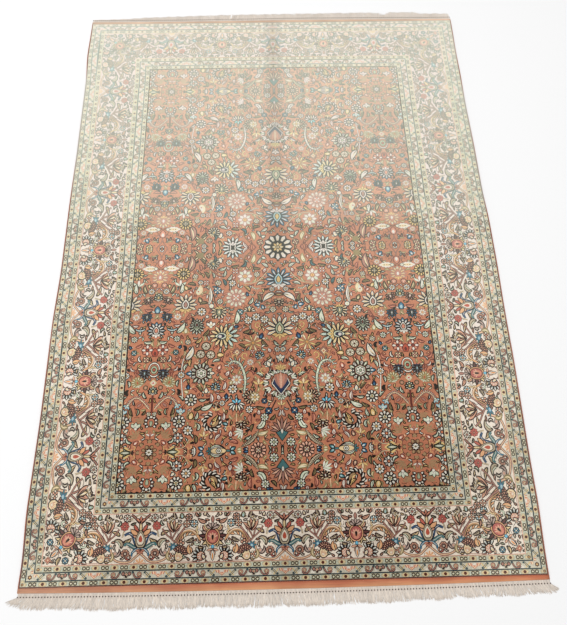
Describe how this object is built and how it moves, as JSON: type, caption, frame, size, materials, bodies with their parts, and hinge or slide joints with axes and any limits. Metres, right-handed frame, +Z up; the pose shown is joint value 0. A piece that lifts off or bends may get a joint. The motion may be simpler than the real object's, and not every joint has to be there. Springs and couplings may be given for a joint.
{
  "type": "hand-knotted silk rug",
  "caption": "Flat oblong pile rug with uneven sides, corded selvedges, a flat woven band at each end and a knotted fringe.",
  "frame": {"origin": "on the floor, under the middle of the whole rug with its fringes", "axes": "+Y along the rug to its far end, +X across it to the right, +Z up from the floor"},
  "size_m": [1.2826, 1.9178, 0.0067],
  "materials": {
    "silk_pile": "cut silk pile with a soft sheen, terracotta field and ivory border",
    "selvedge_cord": "matt overcast yarn",
    "kilim_band": "flat terracotta tapestry weave",
    "fringe_yarn": "undyed cream warp yarn, knotted"
  },
  "bodies": {
    "root": {"rug_pile": "silk_pile", "selvedge_left": "selvedge_cord", "selvedge_right": "selvedge_cord", "kilim_near": "kilim_band", "kilim_far": "kilim_band", "fringe_near": "fringe_yarn", "fringe_far": "fringe_yarn"}
  },
  "joints": []
}
